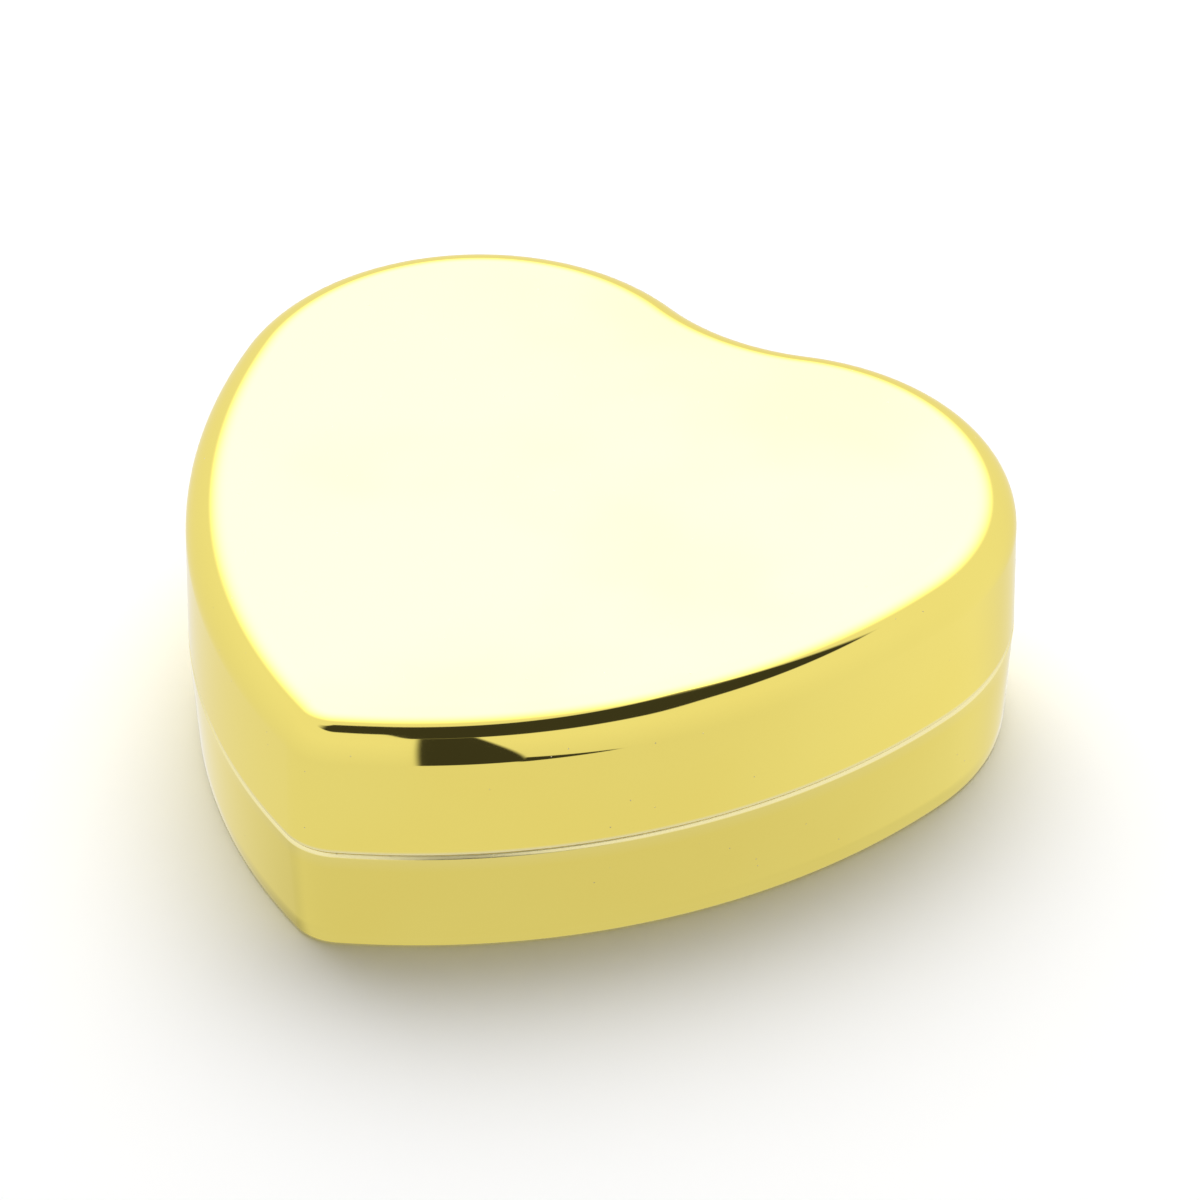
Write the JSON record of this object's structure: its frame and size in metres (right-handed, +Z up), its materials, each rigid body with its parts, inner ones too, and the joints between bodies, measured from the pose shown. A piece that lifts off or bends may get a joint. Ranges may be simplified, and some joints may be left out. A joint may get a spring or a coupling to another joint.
{
  "type": "wind-up music box",
  "caption": "Heart-shaped polished gold box with a hinged lid, a key-wound cylinder movement under a clear cover and a small trinket space.",
  "frame": {"origin": "under the centre of the closed box's outline, on the standing plane", "axes": "+Z up; the heart's tip points to -Y and the hinge in the cleft to +Y; +X to the right seen from the tip"},
  "size_m": [0.09, 0.0894, 0.0289],
  "materials": {
    "gold": "mirror-polished gold plate",
    "flock": "flocked, matt",
    "clear": "clear, gloss",
    "bed": "die-cast, satin",
    "steel": "ground steel",
    "blue_steel": "tempered spring steel",
    "brass": "turned, bright",
    "fan": "moulded",
    "screw": "nickel plate"
  },
  "bodies": {
    "case": {"base_shell": "gold", "hinge_base_knuckles": "gold", "hinge_pin": "gold", "deck": "flock", "dust_cover": "clear", "bedplate": "bed", "movement_screws": "screw", "cylinder_bridge": "steel", "bracket_screws": "screw", "comb": "steel", "comb_screws": "screw", "click_spring": "blue_steel", "governor_bracket": "steel"},
    "lid": {"lid_shell": "gold", "hinge_lid_knuckle": "gold", "lid_lining": "flock"},
    "key": {"winding_key": "gold", "winding_arbor": "steel", "ratchet_wheel": "steel"},
    "barrel": {"barrel": "brass", "barrel_cap": "brass", "great_wheel": "brass", "mainspring": "blue_steel"},
    "cylinder": {"cylinder_drum": "brass", "cylinder_pins": "steel", "cylinder_crown": "brass", "cylinder_wheel": "brass", "cylinder_arbor": "steel"},
    "governor": {"governor_wheel": "steel"},
    "worm": {"worm": "steel", "fan": "fan"},
    "stop": {"stop_pin": "steel"}
  },
  "joints": [
    {"name": "lid_hinge", "type": "hinge", "parent": "case", "child": "lid", "pos_m": [0, 0.0432, 0.01268], "axis": [-1, 0, 0], "range_deg": [0, 100]},
    {"name": "stop_lift", "type": "slide", "parent": "case", "child": "stop", "axis": [0, 0, 1], "range_m": [0, 0.001]},
    {"name": "key_wind", "type": "hinge", "parent": "case", "child": "key", "pos_m": [-0.014, 0.008, 0.004], "axis": [0, 0, 1], "continuous": true},
    {"name": "cylinder_spin", "type": "hinge", "parent": "case", "child": "cylinder", "pos_m": [0.006, 0.008, 0.017], "axis": [1, 0, 0], "continuous": true},
    {"name": "barrel_spin", "type": "hinge", "parent": "case", "child": "barrel", "pos_m": [-0.014, 0.008, 0.015], "axis": [0, 0, 1], "continuous": true},
    {"name": "governor_spin", "type": "hinge", "parent": "case", "child": "governor", "pos_m": [0.018, 0.0152, 0.017], "axis": [1, 0, 0], "continuous": true},
    {"name": "worm_spin", "type": "hinge", "parent": "case", "child": "worm", "pos_m": [0.01965, 0.0196, 0.017], "axis": [0, 0, 1], "continuous": true}
  ],
  "couplings": [
    {"joint": "stop_lift", "follows": "lid_hinge", "m_per_rad": 0.000572},
    {"joint": "barrel_spin", "follows": "cylinder_spin", "ratio": 0.4},
    {"joint": "governor_spin", "follows": "cylinder_spin", "ratio": -3},
    {"joint": "worm_spin", "follows": "cylinder_spin", "ratio": 24}
  ]
}
